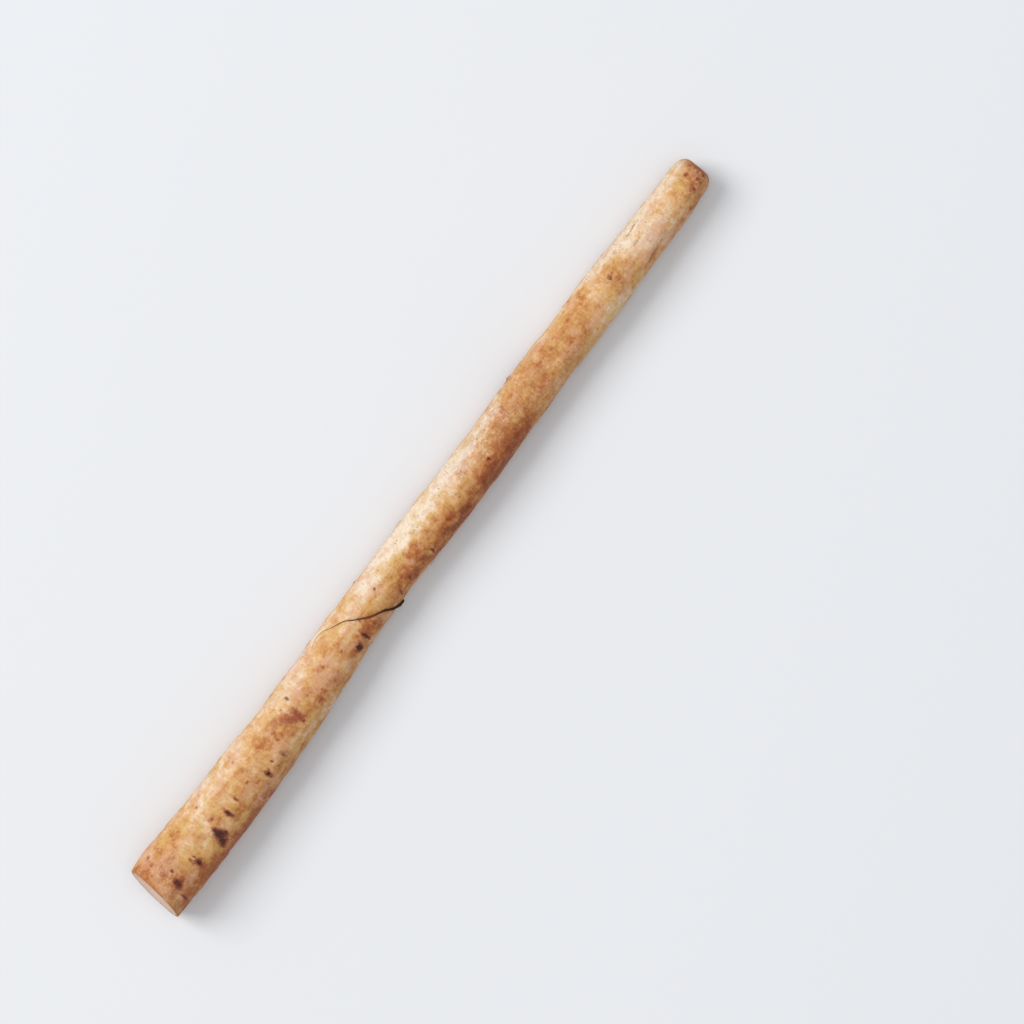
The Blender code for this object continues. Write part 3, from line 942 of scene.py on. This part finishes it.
def add_net(paint, base, tone):
    """Adds the brown net of thicker skin, specks, hairlines, flecks and painted shade in brown in
    the creases.
    """
    net = paint.step(paint.cells(3.6, 3.1, "DISTANCE_TO_EDGE", 1.5), 0.34, 0.0)
    patchy = paint.step(paint.noise(5.0, 4.0, roughness=0.6), 0.36, 0.6)
    blotch = paint.step(paint.noise(2.4, 2.1, detail=4.0, roughness=0.65), 0.49, 0.63)
    net = paint.maths("MAXIMUM", paint.times(net, patchy), blotch)
    net = paint.times(net, paint.field("netted"))
    base = paint.mix(paint.times(net, 0.85), base, NET_BROWN)

    specks = paint.step(paint.cells(2.2, 2.8), 0.26, 0.1, 0.7)
    some = paint.step(paint.noise(5.0, detail=2.0), 0.5, 0.64)
    base = paint.mix(paint.times(specks, some), base, WARM_BROWN)
    hairline = paint.step(paint.noise(0.5, 4.2, detail=2.0), 0.6, 0.72, 0.6)
    base = paint.mix(paint.times(hairline, patchy), base, WARM_BROWN)
    fleck = paint.step(paint.noise(0.7, 4.0, detail=2.0), 0.58, 0.7, 0.3)
    fleck = paint.times(fleck, paint.step(tone, 0.6, 0.9))
    base = paint.mix(fleck, base, FLECK_TAN)
    # Painted shade: brown where the skin is sunk, in creases, pits and the middles of scars
    return paint.mix(paint.step(paint.field("sunk"), 0.1, 0.7, 0.45), base, WARM_BROWN)


def add_marks(paint, base, mottle, ragged):
    """Adds blots, blushes and dark scars with ragged edges. Also says where it is dark."""
    broken = paint.times(mottle, 1.5, 0.22)
    for name, tint, low, high, top in (
        ("brown", WARM_BROWN, 0.12, 0.75, 0.85),
        ("olive", OLIVE_GREEN, 0.15, 0.6, 0.7),
        ("red", RED_BROWN, 0.12, 0.85, 0.9),
    ):
        amount = paint.times(ragged, 0.9, paint.field(name))
        share = paint.times(paint.step(amount, low, high, top), broken)
        base = paint.mix(share, base, tint)
    amount = paint.times(ragged, 0.7, paint.field("dark"))
    base = paint.mix(paint.step(amount, 0.0, 0.45, 0.8), base, RED_BROWN)
    dark = paint.step(amount, 0.2, 0.98, 0.95)
    core = paint.mix(paint.step(paint.field("cool"), 0.25, 0.7), DARK_PURPLE, SLATE)
    return paint.mix(dark, base, core), dark


def skin_material():
    """Washed skin: cream to tan, mottled, with a brown net, red-brown blushes and dark scars."""
    paint = Paint("burdock_skin", 0.55, specular=0.2, subsurface=0.1)
    slow = paint.noise(24.0, 14.0)
    patch = paint.noise(6.0, 5.0, roughness=0.55)
    mottle = paint.noise(2.9, 2.6, detail=4.0, roughness=0.6)
    fine = paint.noise(1.2, roughness=0.6)
    streak = paint.noise(1.0, 6.0, roughness=0.6)
    ragged = paint.maths("SUBTRACT", paint.noise(1.1, roughness=0.6), 0.5)

    layers = ((slow, 0.8), (patch, 0.9), (mottle, 0.7), (fine, 0.4), (streak, 0.3))
    # The tone holds painted shade along the lower side and painted highlight along the lit side,
    # besides the skin's own tone
    base, tone = skin_tone_and_painted_light(paint, *layers)
    base, dark = add_marks(paint, add_net(paint, base, tone), mottle, ragged)
    rim = paint.times(ragged, 0.8, paint.field("rim"))
    rim = paint.maths("ADD", rim, paint.times(patch, 1.6, -0.8))
    base = paint.mix(paint.step(rim, 0.35, 0.9, 0.75), base, WARM_BROWN)

    rough = paint.times(patch, 0.25, 0.42)
    paint.feed(paint.shader.inputs["Roughness"], paint.times(dark, 0.2, rough))
    height = paint.times(paint.noise(0.5, 0.9), 0.4, fine)
    paint.bump(paint.times(streak, 0.8, height), 0.35)
    return paint.coloured(base)


def cut_material(name, flesh, heart, ring, edge):
    """A cut face: pale flesh with rays, a ring of cambium, a duller bark and a browned edge."""
    paint = Paint(name, 0.6, subsurface=0.2)
    cloud = paint.noise(2.6, detail=4.0, roughness=0.6)
    wide = paint.noise(9.0, detail=2.0)
    near = paint.times(cloud, 0.1, paint.maths("ADD", paint.field("share"), -0.13))
    near = paint.times(wide, 0.16, near)

    parts = {0: paint.field("face_side"), 1: paint.field("face_up")}
    face = paint.add("CombineXYZ", parts).outputs[0]
    out = paint.add("VectorMath", {0: face}, operation="NORMALIZE").outputs[0]
    depth = paint.add("CombineXYZ", {2: paint.times(near, 0.22)}).outputs[0]
    out = paint.add("VectorMath", {0: out, 1: depth}).outputs[0]
    rays = paint.clouds(out, 8.0, roughness=0.6).outputs["Fac"]
    inputs = {"Vector": face, "Rotation": (0.0, 0.0, 0.5), "Scale": (1.0, 18.0, 1.0)}
    sliced = paint.clouds(paint.add("Mapping", inputs).outputs[0]).outputs["Fac"]

    base = paint.mix(paint.step(near, 0.5, 0.05), flesh, heart)
    base = paint.mix(paint.step(cloud, 0.5, 0.72, 0.3), base, ring)
    base = paint.mix(paint.step(sliced, 0.55, 0.75, 0.2), base, ring)
    base = paint.mix(paint.step(near, 0.77, 0.83, 0.25), base, ring)
    between = paint.times(paint.step(near, 0.1, 0.35), paint.step(near, 0.86, 0.76))
    rayed = paint.times(paint.step(rays, 0.48, 0.64, 0.45), between)
    base = paint.mix(rayed, base, ring)
    cambium = paint.maths("ABSOLUTE", paint.maths("SUBTRACT", near, 0.78))
    base = paint.mix(paint.step(cambium, 0.05, 0.0, 0.5), base, ring)
    pith = paint.maths("ABSOLUTE", paint.maths("SUBTRACT", paint.noise(1.5), 0.5))
    pith = paint.times(paint.step(pith, 0.03, 0.0, 0.6), paint.step(near, 0.3, 0.1))
    base = paint.mix(pith, base, ring)
    base = paint.mix(paint.step(near, 0.91, 1.0), base, edge)
    height = paint.times(rays, 0.4, cloud)
    height = paint.times(sliced, 0.8, paint.maths("SUBTRACT", height, pith))
    paint.bump(height, 0.25)
    return paint.coloured(base)


def rootlet_material():
    """The rootlet's bark: nearly black at its base, then red-brown, grey and tan."""
    paint = Paint("rootlet_bark", 0.75, specular=0.12)
    cloud = paint.noise(2.2, roughness=0.6)
    place = paint.times(cloud, 0.14, paint.field("along"))
    paint.bump(paint.noise(0.3, detail=2.0), 0.15)
    return paint.coloured(paint.ramp(place, *ROOTLET_RAMP))


def twig_material(name, light, dark):
    """Stubs and hairs: woody, darker in patches along them and where the field says so."""
    paint = Paint(name, 0.8, specular=0.08)
    along = paint.noise(2.5, roughness=0.6)
    shade = paint.maths("SUBTRACT", along, paint.times(paint.field("shade"), 0.5))
    paint.bump(paint.noise(0.3, detail=2.0), 0.15)
    return paint.coloured(paint.ramp(shade, (0.1, dark), (0.34, light)))


def centring(points):
    """The move that puts the root where its solid is."""
    low, high = points.min(axis=0), points.max(axis=0)
    box_low, box_high = (np.array(corner) / MM for corner in CAD_BOX)
    move = (box_low + box_high) / 2 - (low + high) / 2
    move[2] = box_low[2] - low[2]
    return move


def root_piece(materials):
    """Makes the root's body with its skin and cut faces, and says how far it was moved."""
    ring_distance, ring_share = ring_table()
    turns = np.arange(SIDES) * 2 * np.pi / SIDES
    distance = np.repeat(ring_distance, SIDES)
    share = np.repeat(ring_share, SIDES)
    angle = np.tile(turns, len(ring_distance))
    fields = mark_fields(distance, angle)
    relief = full_relief(distance, angle, fields["dark"])
    points = skin(distance, angle, share, relief)
    middles = skin(np.array([0, LENGTH]), np.zeros(2), share=np.zeros(2), relief=np.zeros(2))
    points = np.concatenate((points, middles))
    move = centring(points)
    points += move

    faces = loft_faces(len(ring_distance), SIDES)
    piece = make_piece("root_body", points, faces, *materials)
    on_skin = np.minimum(ring_share[:-1], ring_share[1:]) == 1
    crown = np.arange(len(ring_distance) - 1) < CAP_RINGS
    slots = np.where(on_skin, 0, np.where(crown, 1, 2))
    slots = np.concatenate((np.repeat(slots, SIDES), np.tile((1, 2), SIDES)))
    piece.data.polygons.foreach_set("material_index", slots.astype(np.int32))

    plain = lumps(distance, angle) + knob(distance, angle)
    ends = np.minimum(distance, BROWNED_TIP_SHARE * (LENGTH - distance))
    # How far the skin is sunk, which the skin material paints brown as shade
    fields["sunk"] = plain - relief
    fields["rim"] = np.clip(1 - ends / BROWNED, 0, 1)
    fields["share"] = share
    fields["face_side"] = share * np.cos(angle)
    fields["face_up"] = share * np.sin(angle)
    for name, values in fields.items():
        add_field(piece.data, name, np.concatenate((values, np.zeros(2))))
    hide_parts(NODE)
    return move


def tube(route, radii, sides):
    """Points and faces of a closed round tube along a route, with a radius at each point."""
    ahead = np.gradient(route, axis=0)
    ahead /= np.linalg.norm(ahead, axis=1)[:, None]
    across = np.cross(ahead[0], (0.3, 0.5, 0.8))
    points = []
    for here, forward, radius in zip(route, ahead, radii):
        across = across - forward * across.dot(forward)
        across /= np.linalg.norm(across)
        other = np.cross(forward, across)
        for turn in np.arange(sides) * 2 * np.pi / sides:
            points.append(here + radius * (across * math.cos(turn) + other * math.sin(turn)))
    points += [route[0], route[-1]]
    return np.array(points), loft_faces(len(route), sides)


def outward(angle):
    """Unit vectors straight out from the root's middle line at these angles."""
    return np.stack((np.zeros(len(angle)), np.cos(angle), np.sin(angle)), axis=1)


def rootlet_piece(move, finish):
    """The rootlet that clings to the skin, thick at its base and hair-thin at its tip."""
    rows = np.array(ROOTLET + ROOTLET_TAIL, float)
    order = np.arange(len(rows))
    steps = np.linspace(0, len(rows) - 1, (len(rows) - 1) * ROOTLET_STEPS + 1)
    distance = curve(order, rows[:, 0], steps)
    angle = np.radians(curve(order, rows[:, 1], steps))
    radii = curve(order, np.array(ROOTLET_RADII), steps)
    radii *= 1 + ROOTLET_UNEVEN * grain(distance, angle, *ROOTLET_KNOTS)
    lift = radii * (1 - ROOTLET_PRESSED) - ROOTLET_ROOTED * np.clip(1 - steps, 0, 1) ** 2
    points = skin(distance, angle) + outward(angle) * lift[:, None]
    points, faces = tube(points + move, radii, ROOTLET_SIDES)
    piece = make_piece("rootlet", points, faces, finish)
    along = np.repeat(steps / steps[-1], ROOTLET_SIDES)
    add_field(piece.data, "along", np.concatenate((along, (0.0, 1.0))))


def stub_routes():
    """Each stub of a lateral root: its middle line out to its broken end, radii and shade."""
    draw = random.Random(HIDDEN_SEED)
    routes = []
    for at, turn, _, _, _ in all_scars()[1::STUB_EVERY]:
        angle = math.radians(turn)
        foot = skin(np.array([at]), np.array([angle]))[0]
        lean = np.array((draw.uniform(-0.5, 0.3), math.cos(angle), math.sin(angle)))
        lean /= np.linalg.norm(lean)
        height = draw.uniform(*STUB_HEIGHT)
        if foot[2] < STUB_FLOOR:
            continue
        along = np.linspace(-STUB_SUNK, height, STUB_POINTS)
        along = np.append(along, height + STUB_DOME)
        route = foot + along[:, None] * lean
        route[:, 0] += STUB_BEND * np.maximum(along, 0) ** 2
        radii = np.interp(along, (-STUB_SUNK, 0, height), STUB_FLARE) * STUB_RADIUS
        radii[-2:] = STUB_TIP_RADIUS, STUB_TIP_RADIUS * STUB_DOME_SHARE
        dark = mark_fields(np.array([float(at)]), np.array([angle]))["dark"][0]
        routes.append((route, radii, dark))
    return routes


def hair_routes():
    """Each hair: it leaves a scar, curls over the skin and lifts at its tip."""
    draw = random.Random(HAIR_SEED)
    routes = []
    for at, turn, _, _, _ in all_scars()[len(SCARS)::HAIR_EVERY]:
        for _ in range(draw.choice((1, 1, 2))):
            length = draw.uniform(*HAIR_LENGTH)
            heading = draw.uniform(-math.pi, math.pi)
            curl = draw.uniform(-HAIR_CURL, HAIR_CURL)
            lift = draw.uniform(*HAIR_LIFT)
            place = [at, math.radians(turn)]
            places = []
            step = length / (HAIR_POINTS - 1)
            for _ in range(HAIR_POINTS):
                places.append(tuple(place))
                place[0] += step * math.cos(heading)
                place[1] += step * math.sin(heading) / smooth(1, place[0])
                heading += curl * step + draw.uniform(-HAIR_WAVER, HAIR_WAVER)
            distance, angle = np.array(places).T
            height = HAIR_RADIUS + lift * np.linspace(0, 1, HAIR_POINTS) ** 2
            points = skin(distance, angle) + outward(angle) * height[:, None]
            clear_of_cuts = distance.min() > HAIR_ENDS and distance.max() < LENGTH - HAIR_ENDS
            if points[:, 2].min() > HAIR_FLOOR and clear_of_cuts:
                radii = np.linspace(HAIR_RADIUS, HAIR_RADIUS * HAIR_TAPER, HAIR_POINTS)
                routes.append((points, radii, 0.0))
    return routes


def bundle(name, routes, sides, move, finish):
    """Tubes along several routes in one piece, each with its own shade."""
    points, faces, shades = [], [], []
    for route, radii, shade in routes:
        start = sum(len(part) for part in points)
        part, part_faces = tube(route + move, radii, sides)
        points.append(part)
        shades.append(np.full(len(part), shade))
        faces += [tuple(index + start for index in face) for face in part_faces]
    piece = make_piece(name, np.concatenate(points), faces, finish)
    add_field(piece.data, "shade", np.concatenate(shades))


# The cut faces' flesh, heart, ring and edge
CROWN_COLOURS = ((0.69, 0.48, 0.37), (0.74, 0.57, 0.46), (0.45, 0.25, 0.16), (0.36, 0.15, 0.06))
TIP_COLOURS = ((0.58, 0.38, 0.22), (0.66, 0.48, 0.30), (0.36, 0.19, 0.10), WARM_BROWN)
TWIG_LIGHT = (0.36, 0.15, 0.06)
TWIG_DARK = (0.06, 0.024, 0.017)
HAIR_LIGHT = (0.42, 0.27, 0.13)
HAIR_DARK = (0.25, 0.13, 0.06)
# From the rootlet's base to its tip
ROOTLET_RAMP = (
    (0.0, (0.10, 0.04, 0.022)),
    (0.2, (0.048, 0.019, 0.01)),
    (0.38, (0.06, 0.021, 0.009)),
    (0.52, (0.16, 0.045, 0.016)),
    (0.62, (0.11, 0.065, 0.04)),
    (0.8, (0.17, 0.115, 0.06)),
    (0.95, (0.42, 0.27, 0.12)),
)


def build_root():
    skins = (
        skin_material(),
        cut_material("crown_flesh", *CROWN_COLOURS),
        cut_material("tip_flesh", *TIP_COLOURS),
    )
    twig = twig_material("twig_bark", TWIG_LIGHT, TWIG_DARK)
    hair = twig_material("hair_bark", HAIR_LIGHT, HAIR_DARK)
    move = root_piece(skins)
    rootlet_piece(move, rootlet_material())
    bundle("lateral_stubs", stub_routes(), STUB_SIDES, move, twig)
    bundle("root_hairs", hair_routes(), HAIR_SIDES, move, hair)


# The photograph's frame: the camera looks straight down from this far, turned so that the root
# runs up to the right, and aimed at this place beside the root's middle
CAMERA_HEIGHT = 2400.0
CAMERA_TURN = -53.3
CAMERA_AIM = (30.4, -25.3)
VIEW_WIDTH = 450.6  # what the picture spans at the level on the next line
VIEW_LEVEL = 16.0
SENSOR = 36.0

FLOOR_SIZE = 9.0
FLOOR_GAP = 0.0002
FLOOR_COLOUR = (0.752, 0.767, 0.797)
WORLD_COLOUR = (0.96, 0.98, 1.0)
WORLD_STRENGTH = 0.48
# Soft lights: name, place in metres, width in metres, power in watts, colour
LIGHTS = (
    ("window", (-1.2, 3.6, 4.2), 3.2, 222.0, (1.0, 0.985, 0.965)),
    ("ceiling", (0.4, -0.4, 5.0), 3.0, 46.0, (1.0, 1.0, 1.0)),
)


def add_floor():
    mesh = bpy.data.meshes.new("floor")
    corners = ((-1, -1), (1, -1), (1, 1), (-1, 1))
    points = [(x * FLOOR_SIZE / 2, y * FLOOR_SIZE / 2, -FLOOR_GAP) for x, y in corners]
    mesh.from_pydata(points, [], [(0, 1, 2, 3)])
    mesh.materials.append(Paint("pale_table", 0.8, specular=0.2).coloured(FLOOR_COLOUR))
    floor = add_object("floor", mesh)


def add_lights():
    world = bpy.data.worlds.new("pale_room")
    world.use_nodes = True
    background = world.node_tree.nodes["Background"]
    background.inputs["Color"].default_value = (*WORLD_COLOUR, 1.0)
    background.inputs["Strength"].default_value = WORLD_STRENGTH
    bpy.context.scene.world = world
    for name, place, width, power, tint in LIGHTS:
        light = bpy.data.lights.new(name, "AREA")
        light.shape = "SQUARE"
        light.size = width
        light.energy = power
        light.color = tint
        lamp = add_object(name, light)
        lamp.location = place
        lamp.rotation_euler = (-Vector(place)).to_track_quat("-Z", "Y").to_euler()


def add_camera():
    lens = bpy.data.cameras.new("camera")
    lens.sensor_width = SENSOR
    lens.lens = SENSOR * (CAMERA_HEIGHT - VIEW_LEVEL) / VIEW_WIDTH
    lens.clip_start, lens.clip_end = 0.05, 50.0
    camera = add_object("camera", lens)
    camera.location = (CAMERA_AIM[0] * MM, CAMERA_AIM[1] * MM, CAMERA_HEIGHT * MM)
    camera.rotation_euler = (0, 0, math.radians(CAMERA_TURN))
    bpy.context.scene.camera = camera


build_root()
add_floor()
add_lights()
add_camera()
bpy.context.scene.view_settings.view_transform = "Standard"
